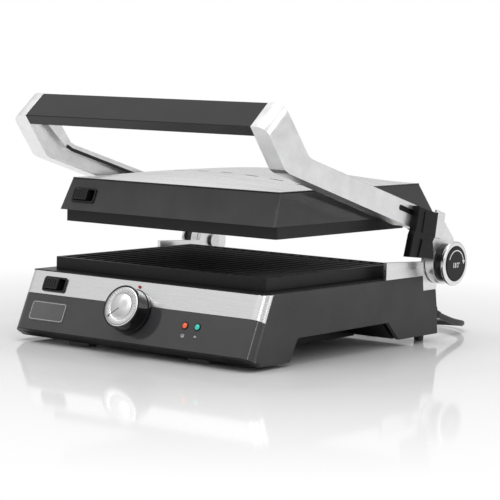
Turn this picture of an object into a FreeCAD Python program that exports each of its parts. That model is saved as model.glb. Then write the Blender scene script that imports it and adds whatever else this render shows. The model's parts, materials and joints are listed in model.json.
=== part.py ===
import FreeCAD, Part
import math
import os

# Contact grill (panini press), millimetres.
# Frame: X to the right seen from the front, Y to the back, Z up.
# Pieces are drawn about the middle of the base footprint at floor level, then all are
# moved back by CENTRE_SHIFT, so the origin lies under the middle of the whole appliance.

V = FreeCAD.Vector
X_AXIS = V(1, 0, 0)
Y_AXIS = V(0, 1, 0)
Z_AXIS = V(0, 0, 1)

CENTRE_SHIFT = V(0, 5.25, 0)

# ---- base ----
BASE_HALF_WIDTH = 165.0        # outer faces of the side panels
PANEL_THICKNESS = 5.0
BASE_TOP = 76.0                # top edge of the side panels
BASE_UNDERSIDE = 4.0           # height carried by the front rubber feet
REAR_UNDERSIDE = 8.2           # the rear legs end higher and stand on taller feet
REAR_WALL_BOTTOM = 10.8
FACE_TOP_Y = -154.0            # top edge of the leaning front face
FACE_LEAN = 0.4375             # horizontal run of the front face per unit of height
CORNER_RADIUS = 11.0           # rounded upright corners of the front
BAND_BOTTOM = 52.0             # steel band covers the front face above this height
FASCIA_BOTTOM = 14.0           # dark fascia ends here and the lip starts
LIP_BACK_Y = -164.0            # lower edge of the lip
REAR_Y = 166.0                 # rear end of the base at floor level
ARCH_TOP = 28.0                # top of the opening under each side panel
WALL = 2.6                     # moulded wall thickness
PAN_HALF = 106.0               # pan under the heater
PAN_FRONT_Y = -98.0
PAN_REAR_Y = 86.0
PAN_BOTTOM = 7.0
FLANGE_FACE_Y = 174.6          # rear face of the flange that holds the lead

# ---- grill plates ----
PLATE_HALF_WIDTH = 147.5
PLATE_DEPTH = 235.0
PLATE_HEIGHT = 13.2
LOWER_PLATE_FRONT = -133.0
LOWER_PLATE_BOTTOM = 77.2
RIDGE_PITCH = 14.0
RIDGE_HEIGHT = 3.2
RIDGE_WIDTH = 5.0
RIM_WIDTH = 6.0

# ---- hinge and lid travel ----
HINGE_Y = 160.0
HINGE_Z = 90.0
PIN_RADIUS = 4.0
PIN_CLEARANCE = 0.06
FLOAT_Y = 24.0                 # cross shaft the lid swings on
FLOAT_Z = 168.0
FLOAT_RADIUS = 4.0

# ---- lid ----
UPPER_PLATE_FRONT = -117.0
UPPER_PLATE_BOTTOM = 129.6
SHELL_BOTTOM = 142.8
SHELL_TOP = 176.5
SHELL_HALF_BOTTOM = 150.2
SHELL_HALF_TOP = 145.6
SHELL_FRONT_BOTTOM = -124.6
SHELL_FRONT_TOP = -109.8
SHELL_REAR_BOTTOM = 176.0
SHELL_REAR_TOP = 151.0
COVER_RISE = 12.0

# ---- handle ----
ARM_INNER = 155.8
ARM_OUTER = 176.0
HUB_INNER = 166.4              # the hub end is thinner and runs outside the hinge bracket
HUB_RADIUS = 24.0
GRIP_WIDTH = 37.0
GRIP_THICKNESS = 12.6

# ---- controls ----
KNOB_X = -2.0
KNOB_Z = 44.5
KNOB_RADIUS = 23.5
KNOB_LENGTH = 20.0
LED_X = (73.2, 89.8)
LED_Z = 38.2
DRUM_OUTER = 186.0

# ---- mains lead ----
CORD_DIAMETER = 7.0
COIL_CENTRE = V(-30.0, 238.0, 4.5)
COIL_LAYER = V(0, 0, 6.6)      # from one turn of the coil to the one above it
COIL_MEAN_RADIUS = 40.0
COIL_LAST_TURN = 140.0         # degrees of the second turn
COIL_END_ANGLE = 130.0         # direction from the coil's centre to where the lead leaves it
TIE_WIDTH = 6.0
TIE_THICKNESS = 0.6

LEAN_ANGLE = math.degrees(math.atan(FACE_LEAN))
COS_LEAN = math.cos(math.radians(LEAN_ANGLE))


def box(x0, x1, y0, y1, z0, z1):
    return Part.makeBox(x1 - x0, y1 - y0, z1 - z0, V(x0, y0, z0))


def rod_x(x0, x1, y, z, radius):
    return Part.makeCylinder(radius, x1 - x0, V(x0, y, z), X_AXIS)


def tube_x(x0, x1, y, z, outer, inner):
    return rod_x(x0, x1, y, z, outer).cut(rod_x(x0 - 1, x1 + 1, y, z, inner))


def plate_yz(points, x0, x1):
    corners = [V(x0, y, z) for y, z in points]
    face = Part.Face(Part.makePolygon(corners + corners[:1]))
    return face.extrude(V(x1 - x0, 0, 0))


def mirrored(shape):
    return shape.mirror(V(0, 0, 0), X_AXIS)


def face_y(z):
    return FACE_TOP_Y - (BASE_TOP - z) * FACE_LEAN


def on_front(shape, x, z):
    # Local X stays X, local Y runs up the leaning face, local Z points out of it.
    turn = FreeCAD.Rotation(X_AXIS, 90.0 - LEAN_ANGLE)
    moved = shape.copy()
    moved.Placement = FreeCAD.Placement(V(x, face_y(z), z), turn)
    return moved


def on_shell_front(shape, x, z):
    turn = FreeCAD.Rotation(X_AXIS, 90.0 - LEAN_ANGLE)
    run = (SHELL_FRONT_TOP - SHELL_FRONT_BOTTOM) / (SHELL_TOP - SHELL_BOTTOM)
    moved = shape.copy()
    moved.Placement = FreeCAD.Placement(V(x, SHELL_FRONT_BOTTOM + (z - SHELL_BOTTOM) * run, z), turn)
    return moved


def rounded_box(width, height, depth, radius, z0=0.0):
    block = Part.makeBox(width, height, depth, V(-width / 2, -height / 2, z0))
    edges = []
    for edge in block.Edges:
        direction = edge.tangentAt(edge.FirstParameter)
        if abs(direction.z) > 0.9:
            edges.append(edge)
    return block.makeFillet(radius, edges)


def edges_where(shape, test):
    return [edge for edge in shape.Edges if test(edge)]


def save(name, shape):
    solids = shape.Solids
    if len(solids) == 1:
        shape = solids[0]
    if not shape.isValid():
        print("invalid", name)
    shape = shape.copy()
    shape.translate(CENTRE_SHIFT)
    shape.exportStep("parts/" + name + ".step")
    bounds = shape.BoundBox
    print("%-24s solids %d  volume %9.0f  x %.1f..%.1f  y %.1f..%.1f  z %.1f..%.1f" % (
        name, len(solids), shape.Volume, bounds.XMin, bounds.XMax,
        bounds.YMin, bounds.YMax, bounds.ZMin, bounds.ZMax))


# ------------------------------------------------------------------ base

def base_block():
    # Outer form of the whole front, used to cut the band, the fascia and the side panels.
    outline = [
        (FACE_TOP_Y, BASE_TOP),
        (face_y(FASCIA_BOTTOM), FASCIA_BOTTOM),
        (LIP_BACK_Y, BASE_UNDERSIDE),
        (REAR_Y, BASE_UNDERSIDE),
        (163.0, 41.0),
        (160.0, 59.0),
        (135.0, 59.0),
        (133.0, BASE_TOP),
    ]
    block = plate_yz(outline, -BASE_HALF_WIDTH, BASE_HALF_WIDTH)
    upright = []
    for edge in block.Edges:
        middle = edge.CenterOfMass
        if abs(middle.x) > BASE_HALF_WIDTH - 1 and abs(middle.z - (BASE_TOP + FASCIA_BOTTOM) / 2) < 2:
            if middle.y < FACE_TOP_Y:
                upright.append(edge)
    return block.makeFillet(CORNER_RADIUS, upright)


def face_slab(z_low, z_high, depth, margin):
    # A slab lying on the leaning front face between two lines square to it.
    length = (z_high - z_low) / COS_LEAN
    slab = Part.makeBox(2 * BASE_HALF_WIDTH + 20, length - 2 * margin, depth + 40,
                        V(-BASE_HALF_WIDTH - 10, margin, -depth))
    return on_front(slab, 0, z_low)


def hollowed(block, wall):
    # Thin skin of a form: the form minus itself pushed in from the front.
    inner = block.copy()
    inner.translate(V(0, wall / COS_LEAN, 0))
    return block.cut(inner)


BLOCK = base_block()
ARCH = [
    (-112.0, BASE_UNDERSIDE - 1),
    (-111.4, BASE_UNDERSIDE),
    (-99.5, ARCH_TOP - 1.5),
    (-97.0, ARCH_TOP),
    (67.0, ARCH_TOP + 1.0),
    (93.4, BASE_UNDERSIDE),
    (94.4, BASE_UNDERSIDE - 1),
]
SIDE_FRONT_SHIFT = CORNER_RADIUS / COS_LEAN


def side_panel():
    # Flat right-hand panel with legs front and back and the arch between them.
    outline = [
        (FACE_TOP_Y + SIDE_FRONT_SHIFT + 0.2, BASE_TOP),
        (face_y(FASCIA_BOTTOM) + SIDE_FRONT_SHIFT + 0.2, FASCIA_BOTTOM - 2.0),
        (LIP_BACK_Y + 5.0, BASE_UNDERSIDE),
        (-60.0, BASE_UNDERSIDE),
        (40.0, REAR_UNDERSIDE),
        (REAR_Y, REAR_UNDERSIDE),
        (163.0, 41.0),
        (160.0, 59.0),
        (135.0, 59.0),
        (133.0, BASE_TOP),
    ]
    x0 = BASE_HALF_WIDTH - PANEL_THICKNESS
    panel = plate_yz(outline, x0, BASE_HALF_WIDTH)
    panel = panel.cut(plate_yz(ARCH, x0 - 1, BASE_HALF_WIDTH + 1))
    lip = edges_where(panel, lambda e: abs(e.CenterOfMass.x - BASE_HALF_WIDTH) < 0.01
                      and abs(e.CenterOfMass.z - BASE_TOP) < 0.01)
    panel = panel.makeFillet(1.2, lip)
    # stiffening rib round the inside of the arch
    rib = [(-97.0, ARCH_TOP + 3), (66.0, ARCH_TOP + 4), (66.0, ARCH_TOP + 7), (-97.0, ARCH_TOP + 6)]
    return panel.fuse(plate_yz(rib, x0 - 4.0, x0))


def front_skin(z_low, z_high, wall, gap):
    skin = hollowed(BLOCK, wall)
    skin = skin.common(face_slab(z_low, z_high, 30.0, gap))
    # nothing inside the side panels' own space
    keep = box(-BASE_HALF_WIDTH - 1, BASE_HALF_WIDTH + 1, -260, FACE_TOP_Y + SIDE_FRONT_SHIFT + 60, 0, 200)
    skin = skin.common(keep)
    right = side_panel()
    skin = skin.cut(right).cut(mirrored(right))
    return skin


def largest(shape):
    return max(shape.Solids, key=lambda s: s.Volume)


KNOB_HOLE = 6.5


def steel_band():
    band = front_skin(BAND_BOTTOM, BASE_TOP + 6.0, 1.2, 0.25)
    band = band.common(box(-200, 200, -260, -100, 0, BASE_TOP - 0.05))
    window = rounded_box(31.0, 15.0, 30.0, 2.0, -15.0)
    band = band.cut(on_front(window, -121.8, 62.9))
    hole = Part.makeCylinder(KNOB_HOLE + 4.0, 30, V(0, 0, -15))
    band = band.cut(on_front(hole, KNOB_X, KNOB_Z))
    return largest(band)


def fascia():
    skin = front_skin(FASCIA_BOTTOM, BAND_BOTTOM, 3.0, 0.25)
    hole = Part.makeCylinder(KNOB_HOLE, 30, V(0, 0, -15))
    skin = skin.cut(on_front(hole, KNOB_X, KNOB_Z))
    for x in LED_X:
        lamp = Part.makeCylinder(3.15, 30, V(0, 0, -15))
        skin = skin.cut(on_front(lamp, x, LED_Z))
    recess = rounded_box(52.0, 23.2, 5.0, 4.0, -1.0)
    skin = skin.cut(on_front(recess, -121.0, 34.4))
    below = plate_yz([(-260.0, FASCIA_BOTTOM), (-100.0, FASCIA_BOTTOM), (-100.0, -20.0), (-260.0, -20.0)],
                     -BASE_HALF_WIDTH + CORNER_RADIUS, BASE_HALF_WIDTH - CORNER_RADIUS)
    skin = skin.cut(below)
    return largest(skin)


def lip(cover_above):
    # Black under-lip between the fascia and the floor, with slanted vent slots at both ends.
    front = face_y(FASCIA_BOTTOM)
    region = plate_yz([(front - 5.0, FASCIA_BOTTOM - 0.2), (front + 14.0, FASCIA_BOTTOM - 0.2),
                       (LIP_BACK_Y + 9.0, BASE_UNDERSIDE), (front - 5.0, BASE_UNDERSIDE)],
                      -BASE_HALF_WIDTH, BASE_HALF_WIDTH)
    bar = BLOCK.common(region)
    panel = side_panel()
    bar = largest(bar.cut(panel).cut(mirrored(panel)).cut(cover_above))
    y_mid = (front + LIP_BACK_Y) / 2
    for side in (-1, 1):
        for k in range(6):
            slot = Part.makeBox(2.2, 12.0, 20.0, V(-1.1, -6.0, -10.0))
            slot.Placement = FreeCAD.Placement(V(side * (126.0 + 5.2 * k), y_mid + 2.0, 9.0),
                                               FreeCAD.Rotation(Z_AXIS, -28.0))
            bar = bar.cut(slot)
    return largest(bar)


def deck():
    # Moulded top tray: rim round the edge and a shallow well that carries the plate.
    half = BASE_HALF_WIDTH - PANEL_THICKNESS - 0.2
    front = FACE_TOP_Y + 0.6
    top = plate_yz([(front, BASE_TOP), (front, BASE_TOP + 0.9), (front + 0.4, BASE_TOP + 1.1),
                    (131.0, BASE_TOP + 1.1), (131.6, BASE_TOP + 0.6), (133.0, BASE_TOP - 3.0),
                    (126.0, BASE_TOP - 3.0), (front + 5.0, BASE_TOP - 3.0), (front + 4.0, BASE_TOP)],
                   -half, half)
    well = box(-120, 120, -118, 92, BASE_TOP - 1.0, BASE_TOP + 5)
    top = top.cut(well)
    opening = box(-104, 104, -113, 87, BASE_TOP - 8, BASE_TOP + 5)
    top = top.cut(opening)
    for side in (-1, 1):
        notch = box(155.4, 175.0, 65.0, 127.0, BASE_TOP - 8, BASE_TOP + 5)
        top = top.cut(notch if side > 0 else mirrored(notch))
    return top


def rear_panel():
    half = BASE_HALF_WIDTH - PANEL_THICKNESS - 0.2
    outline = [
        (REAR_Y - 0.2, REAR_WALL_BOTTOM + 0.2),
        (163.0, 41.0),
        (160.0, 58.8),
        (134.6, 58.8),
        (132.8, BASE_TOP - 3.2),
        (130.2, BASE_TOP - 3.2),
        (132.2, 56.2),
        (157.4, 56.2),
        (160.3, 41.0),
        (163.0, REAR_WALL_BOTTOM + 0.2),
    ]
    panel = plate_yz(outline, -half, half)
    # flange that holds the lead
    block = box(139.0, 158.9, 160.9, FLANGE_FACE_Y, 22.0, 39.6)
    block = block.makeFillet(5.0, edges_where(block, lambda e: abs(e.tangentAt(0).y) > 0.9))
    behind = [(161.6, 10.0), (200.0, 10.0), (200.0, 60.0), (161.6, 60.0)]
    block = block.common(plate_yz(behind, 130, 165))
    panel = panel.fuse(block)
    bore = Part.makeCylinder(5.9, 40, V(RELIEF_START.x, 150, RELIEF_START.z - 0.8), Y_AXIS)
    panel = panel.cut(bore)
    for k in range(9):
        x = -112.0 + 20.0 * k
        panel = panel.cut(box(x, x + 12.0, 150, 170, 24.0, 27.0))
    return panel


def bottom_cover():
    # Floor of the base: raised between the arches, with a deep pan under the heater.
    half = BASE_HALF_WIDTH - PANEL_THICKNESS - 4.4
    outline = [
        (LIP_BACK_Y + 9.4, BASE_UNDERSIDE),
        (LIP_BACK_Y + 9.4, BASE_UNDERSIDE + 2.6),
        (-114.0, BASE_UNDERSIDE + 2.6),
        (-100.0, ARCH_TOP + 0.4),
        (69.0, ARCH_TOP + 1.4),
        (90.4, REAR_UNDERSIDE + WALL),
        (162.6, REAR_UNDERSIDE + WALL),
        (162.6, REAR_UNDERSIDE),
        (89.0, REAR_UNDERSIDE),
        (67.6, ARCH_TOP - 1.0),
        (-98.6, ARCH_TOP - 2.0),
        (-112.6, BASE_UNDERSIDE),
    ]
    sheet = plate_yz(outline, -half, half)
    pan = box(-PAN_HALF, PAN_HALF, PAN_FRONT_Y, PAN_REAR_Y, PAN_BOTTOM, ARCH_TOP)
    room = box(-PAN_HALF + WALL, PAN_HALF - WALL, PAN_FRONT_Y + WALL, PAN_REAR_Y - WALL,
               PAN_BOTTOM + WALL, ARCH_TOP + 10)
    return largest(sheet.fuse(pan).cut(room))


def front_feet():
    shapes = []
    for side in (-1, 1):
        foot = rounded_box(30.0, 16.0, BASE_UNDERSIDE, 4.0)
        foot.translate(V(side * 84.0, -155.0, 0.0))
        shapes.append(foot)
    return Part.makeCompound(shapes)


def rear_feet():
    shapes = []
    for side in (-1, 1):
        foot = Part.makeCone(5.2, 6.0, REAR_UNDERSIDE, V(side * 148.0, 154.0, 0.0), Z_AXIS)
        shapes.append(foot)
    return Part.makeCompound(shapes)


# ------------------------------------------------------------------ plates

def grill_plate(front, bottom, faces_up):
    # Cast plate: tray with a rim and ridges running front to back on the cooking face.
    body = box(-PLATE_HALF_WIDTH, PLATE_HALF_WIDTH, front, front + PLATE_DEPTH, 0, PLATE_HEIGHT)
    corners = edges_where(body, lambda e: abs(e.tangentAt(0).z) > 0.9)
    body = body.makeFillet(3.0, corners)
    floor = PLATE_HEIGHT - RIDGE_HEIGHT
    well = box(-PLATE_HALF_WIDTH + RIM_WIDTH, PLATE_HALF_WIDTH - RIM_WIDTH,
               front + RIM_WIDTH, front + PLATE_DEPTH - RIM_WIDTH, floor, PLATE_HEIGHT + 5)
    body = body.cut(well)
    wall = 5.0
    pocket = box(-PLATE_HALF_WIDTH + wall, PLATE_HALF_WIDTH - wall,
                 front + wall, front + PLATE_DEPTH - wall, -1, 4.5)
    body = body.cut(pocket)
    count = 20
    half = RIDGE_WIDTH / 2
    ridges = []
    for k in range(count):
        x = (k - (count - 1) / 2.0) * RIDGE_PITCH
        crest = PLATE_HEIGHT - 0.1
        profile = [V(x - half, 0, floor - 0.5), V(x + half, 0, floor - 0.5), V(x + half, 0, floor + 0.6),
                   V(x + 1.2, 0, crest), V(x - 1.2, 0, crest), V(x - half, 0, floor + 0.6)]
        face = Part.Face(Part.makePolygon(profile + profile[:1]))
        ridge = face.extrude(V(0, PLATE_DEPTH - 2 * RIM_WIDTH - 6.0, 0))
        ridge.translate(V(0, front + RIM_WIDTH + 3.0, 0))
        ridges.append(ridge)
    body = body.multiFuse(ridges)
    if not faces_up:
        body = body.mirror(V(0, 0, PLATE_HEIGHT / 2), Z_AXIS)
    body.translate(V(0, 0, bottom))
    return body


def heating_element(front, z, x_half):
    # Serpentine tube heater: two long U bends joined by straight legs.
    radius = 3.2
    bend = 24.0
    y0 = front + 54.0
    y1 = front + 181.0
    legs = []
    xs = [-3 * bend, -bend, bend, 3 * bend]
    for x in xs:
        legs.append(Part.makeCylinder(radius, y1 - y0, V(x, y0, z), Y_AXIS))
    for k, (xa, xb) in enumerate(zip(xs[:-1], xs[1:])):
        y = y1 if k % 2 == 0 else y0
        middle = (xa + xb) / 2.0
        turn = Part.makeTorus(bend, radius, V(middle, y, z), Z_AXIS)
        half = box(middle - bend - 10, middle + bend + 10, y, y + 60, z - 10, z + 10) if y == y1 else \
            box(middle - bend - 10, middle + bend + 10, y - 60, y, z - 10, z + 10)
        legs.append(turn.common(half))
    tube = legs[0].multiFuse(legs[1:])
    return tube.removeSplitter()


def reflector(front, z0, depth_up):
    # Pressed tray behind the heater.
    tray = box(-100, 100, front + 32, front + 205, z0, z0 + 8.0)
    if depth_up:
        return tray.cut(box(-99, 99, front + 33, front + 204, z0 + 1.0, z0 + 9.0))
    return tray.cut(box(-99, 99, front + 33, front + 204, z0 - 1.0, z0 + 7.0))


# ------------------------------------------------------------------ controls

def latch_frame():
    frame = rounded_box(33.0, 17.0, 1.6, 2.6, 0.05)
    frame = frame.cut(rounded_box(29.6, 13.0, 10.0, 1.6, -5.0))
    sleeve = rounded_box(30.8, 14.8, 7.0, 1.9, -6.9)
    sleeve = sleeve.cut(rounded_box(29.6, 13.0, 20.0, 1.6, -15.0))
    floor = rounded_box(30.8, 14.8, 1.0, 1.9, -7.9)
    return frame.multiFuse([sleeve, floor])


def latch_slider():
    body = rounded_box(21.4, 12.0, 11.2, 1.4, -6.6)
    body.translate(V(-3.7, 0, 0))
    top = edges_where(body, lambda e: abs(e.CenterOfMass.z - 4.6) < 0.01)
    body = body.makeFillet(0.8, top)
    for k in range(5):
        groove = Part.makeBox(0.9, 9.0, 2.0, V(-11.6 + 3.6 * k, -4.5, 3.9))
        body = body.cut(groove)
    return body


def knob_body():
    # Local Z is the turning axis; the skirt hovers just clear of the face.
    skirt = Part.makeCylinder(KNOB_RADIUS + 1.4, 4.0, V(0, 0, 0.5))
    cone = Part.makeCone(KNOB_RADIUS + 0.6, KNOB_RADIUS, KNOB_LENGTH - 4.5, V(0, 0, 4.5))
    body = skirt.fuse(cone)
    body = body.cut(Part.makeCylinder(KNOB_RADIUS - 1.4, 2.0, V(0, 0, KNOB_LENGTH - 1.2)))
    body = body.cut(Part.makeCylinder(KNOB_RADIUS - 3.0, 13.0, V(0, 0, -1.0)))
    hub = Part.makeCylinder(6.0, 13.0, V(0, 0, 0.8))
    body = body.fuse(hub)
    return body.cut(Part.makeCylinder(3.0, 12.0, V(0, 0, -1.0)))


def knob_disc():
    disc = Part.makeCylinder(KNOB_RADIUS - 1.45, 1.6, V(0, 0, KNOB_LENGTH - 1.2))
    rim = edges_where(disc, lambda e: abs(e.CenterOfMass.z - KNOB_LENGTH - 0.4) < 0.01)
    return disc.makeFillet(0.4, rim)


def knob_shaft():
    return Part.makeCylinder(2.95, 28.0, V(0, 0, -17.2))


def thermostat():
    body = Part.makeCylinder(14.0, 16.0, V(0, 0, -33.6))
    collar = Part.makeCylinder(5.6, 14.0, V(0, 0, -17.6))
    body = body.fuse(collar)
    return body.cut(Part.makeCylinder(3.02, 20.0, V(0, 0, -17.4)))


def lamp():
    stem = Part.makeCylinder(2.9, 8.0, V(0, 0, -7.0))
    dome = Part.makeSphere(4.2, V(0, 0, -2.2))
    dome = dome.common(Part.makeCylinder(2.9, 6.0, V(0, 0, 0.9)))
    return stem.fuse(dome)


def lamp_board():
    board = Part.makeBox(40.0, 18.0, 1.6, V(-12.0, -9.0, -9.2))
    return board


def badge():
    plate = rounded_box(51.6, 22.8, 1.3, 3.8, -0.95)
    return plate


def index_dot():
    return Part.makeCylinder(1.6, 1.0, V(0, 0, 0.05))


# ------------------------------------------------------------------ hinge

def bracket():
    # Stamped bracket on the right side panel: rising wall, hub round the hinge pin and a foot inside.
    panel_inner = BASE_HALF_WIDTH - PANEL_THICKNESS
    x0 = panel_inner + 0.6
    x1 = BASE_HALF_WIDTH - 0.2
    outline = [
        (61.0, BASE_TOP + 0.05),
        (133.2, BASE_TOP + 0.05),
        (135.2, 59.05),
        (160.1, 59.05),
        (163.0, 66.0),
        (160.0, 112.0),
        (142.0, 100.0),
        (136.0, 92.0),
        (61.0, 95.5),
    ]
    wall = plate_yz(outline, x0, x1)
    hub = rod_x(x0, x1, HINGE_Y, HINGE_Z, HUB_RADIUS + 1.0)
    collar = rod_x(x1, x1 + 0.7, HINGE_Y, HINGE_Z, HUB_RADIUS - 1.5)
    shelf = box(panel_inner - 1.6, x0 + 1.0, 66.0, 126.0, BASE_TOP + 1.2, BASE_TOP + 6.0)
    foot = box(panel_inner - 1.6, panel_inner - 0.05, 66.0, 126.0, 48.0, BASE_TOP + 6.0)
    body = wall.multiFuse([hub, collar, shelf, foot])
    return body.cut(rod_x(100, 200, HINGE_Y, HINGE_Z, PIN_RADIUS + PIN_CLEARANCE))


def drum():
    body = rod_x(ARM_OUTER + 0.35, DRUM_OUTER, HINGE_Y, HINGE_Z, 21.5)
    rear = edges_where(body, lambda e: abs(e.CenterOfMass.x - ARM_OUTER - 0.35) < 0.01)
    body = body.makeFillet(1.0, rear)
    return body.cut(rod_x(ARM_OUTER, DRUM_OUTER + 1, HINGE_Y, HINGE_Z, PIN_RADIUS))


def drum_ring(inner):
    ring = tube_x(DRUM_OUTER, DRUM_OUTER + 4.4, HINGE_Y, HINGE_Z, 25.0, inner)
    outer = edges_where(ring, lambda e: abs(e.Length - 2 * math.pi * 25.0) < 0.5)
    return ring.makeFillet(1.5, outer)


def release_button():
    cap = rod_x(DRUM_OUTER + 3.6, DRUM_OUTER + 5.4, HINGE_Y, HINGE_Z, 19.6)
    front = edges_where(cap, lambda e: abs(e.CenterOfMass.x - DRUM_OUTER - 5.4) < 0.01)
    return cap.makeFillet(0.6, front)


def plain_cap():
    cap = rod_x(DRUM_OUTER + 0.05, DRUM_OUTER + 5.4, HINGE_Y, HINGE_Z, 19.9)
    front = edges_where(cap, lambda e: abs(e.CenterOfMass.x - DRUM_OUTER - 5.4) < 0.01)
    return cap.makeFillet(0.6, front)


# ------------------------------------------------------------------ handle and arms

GRIP_DOWN = V(0, -math.cos(math.radians(40.0)), -math.sin(math.radians(40.0)))
GRIP_BACK = V(0, math.sin(math.radians(40.0)), -math.cos(math.radians(40.0)))
GRIP_TOP_BACK = V(0, -146.5, 271.0)


def grip_point(down, back):
    point = GRIP_TOP_BACK + GRIP_DOWN * down + GRIP_BACK * back
    return (point.y, point.z)


def grip():
    outline = [grip_point(0.6, 0), grip_point(GRIP_WIDTH - 0.6, 0), grip_point(GRIP_WIDTH, 0.6),
               grip_point(GRIP_WIDTH, GRIP_THICKNESS), grip_point(0, GRIP_THICKNESS), grip_point(0, 0.6)]
    bar = plate_yz(outline, -ARM_INNER + 0.05, ARM_INNER - 0.05)
    lower = edges_where(bar, lambda e: abs(e.tangentAt(0).x) > 0.9 and e.Length > 200
                        and e.CenterOfMass.z < 262 and e.CenterOfMass.y > -166)
    return bar.makeFillet(2.5, lower)


def arm_outline():
    # Side view of the arm: square to the grip, then a dog-leg back to the hinge.
    return [
        grip_point(0, 0),
        grip_point(GRIP_WIDTH, 0),
        (-141.5, 203.5),
        (-134.5, 199.6),
        (96.0, 131.5),
        (137.5, 106.0),
        (HINGE_Y, HINGE_Z),
        (179.6, 108.5),
        (176.6, 116.5),
        (154.0, 139.0),
        (148.0, 141.6),
        (95.0, 158.6),
        (-96.0, 213.2),
        (-102.5, 216.6),
    ]


def slot_cut(x0, x1):
    # Slot for the height lock, parallel to the arm.
    run = V(0, -35.0, 10.0)
    rear = V(x0, 103.0, 146.6)
    front = rear + run
    side = V(0, 10.0, 35.0)
    side.normalize()
    half = 3.0
    corners = [rear + side * half, rear - side * half, front - side * half, front + side * half]
    body = Part.Face(Part.makePolygon(corners + corners[:1])).extrude(V(x1 - x0, 0, 0))
    nose = rod_x(x0, x1, front.y, front.z, half)
    tail = rod_x(x0, x1, rear.y, rear.z, half)
    return body.multiFuse([nose, tail])


def arm():
    solid = plate_yz(arm_outline(), ARM_INNER, ARM_OUTER)
    # rounded outer shoulder over the grip
    shoulder = []
    for edge in solid.Edges:
        middle = edge.CenterOfMass
        if abs(middle.x - ARM_OUTER) < 0.01 and middle.z > 255 and abs(edge.Length - GRIP_WIDTH) < 0.01:
            shoulder.append(edge)
    solid = solid.makeFillet(12.0, shoulder)
    # hub end: outboard layer only
    notch = box(ARM_INNER - 1, HUB_INNER, 84.0, 240.0, 60.0, 240.0)
    solid = solid.cut(notch)
    hub = rod_x(HUB_INNER, ARM_OUTER, HINGE_Y, HINGE_Z, HUB_RADIUS)
    solid = solid.fuse(hub)
    # shallow recess along the inner face, open towards the lid
    recess = plate_yz([(-150.0, 246.0), (-164.0, 239.4), (-138.6, 207.4), (-131.5, 203.4), (78.0, 142.2),
                       (78.0, 154.6), (-100.0, 205.4), (-108.0, 209.4)], ARM_INNER - 1, ARM_INNER + 6.0)
    solid = solid.cut(recess)
    solid = solid.cut(slot_cut(ARM_INNER - 2, ARM_OUTER + 2))
    bore = rod_x(100, 200, HINGE_Y, HINGE_Z, PIN_RADIUS + PIN_CLEARANCE)
    solid = solid.cut(bore)
    pivot = rod_x(100, ARM_OUTER - 4.0, FLOAT_Y, FLOAT_Z, FLOAT_RADIUS + PIN_CLEARANCE)
    boss = rod_x(ARM_INNER, ARM_OUTER - 2.0, FLOAT_Y, FLOAT_Z, FLOAT_RADIUS + 4.0)
    return solid.fuse(boss).cut(pivot)


def arm_trim():
    # Dark strip closing the recess edge along the upper side of the inner face.
    outline = [(-110.0, 210.6), (-101.0, 206.0), (78.0, 154.9),
               (78.0, 158.0), (-100.0, 209.6), (-107.4, 213.6)]
    strip = plate_yz(outline, ARM_INNER - 1.0, ARM_INNER - 0.05)
    return strip.cut(rod_x(150, 160, FLOAT_Y, FLOAT_Z, FLOAT_RADIUS + 0.4))


def strap():
    # Steel strap behind the lock housing.
    outline = [(130.0, 121.0), (146.0, 118.0), (151.6, 131.0), (154.0, 146.0), (136.6, 151.0)]
    return plate_yz(outline, ARM_OUTER + 0.05, ARM_OUTER + 2.6)


def lock_housing():
    # Black block that slides along the slot and carries the height prop.
    x0 = ARM_OUTER + 0.4
    upper = plate_yz([(92.4, 157.6), (128.0, 148.2), (131.5, 148.4), (126.5, 121.8), (122.0, 116.5),
                      (124.6, 97.0), (75.2, 102.4), (82.8, 127.0), (86.0, 131.0)], x0, x0 + 8.0)
    outer = edges_where(upper, lambda e: abs(e.CenterOfMass.x - x0 - 8.0) < 0.01)
    upper = upper.makeFillet(1.2, outer)
    rib = plate_yz([(91.6, 101.4), (105.4, 99.9), (113.0, 119.4), (98.4, 120.6)], x0 + 7.0, x0 + 9.4)
    facet = plate_yz([(104.0, 151.4), (126.4, 145.6), (122.8, 124.6), (98.6, 128.0)], x0 + 7.0, x0 + 8.8)
    return upper.multiFuse([rib, facet])


def lock_pin():
    x0 = ARM_OUTER + 0.4
    stem = rod_x(ARM_INNER + 7.0, x0, 103.0, 146.6, 2.7)
    head = rod_x(ARM_INNER + 7.0, ARM_INNER + 9.4, 103.0, 146.6, 2.75)
    return stem.fuse(head)


# ------------------------------------------------------------------ lid

def pyramid(half_bottom, half_top, front_bottom, front_top, rear_bottom, rear_top, z0, z1):
    low = [V(-half_bottom, front_bottom, z0), V(half_bottom, front_bottom, z0),
           V(half_bottom, rear_bottom, z0), V(-half_bottom, rear_bottom, z0)]
    high = [V(-half_top, front_top, z1), V(half_top, front_top, z1),
            V(half_top, rear_top, z1), V(-half_top, rear_top, z1)]
    lower = Part.makePolygon(low + low[:1])
    upper = Part.makePolygon(high + high[:1])
    return Part.makeLoft([lower, upper], True, True)


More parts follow.
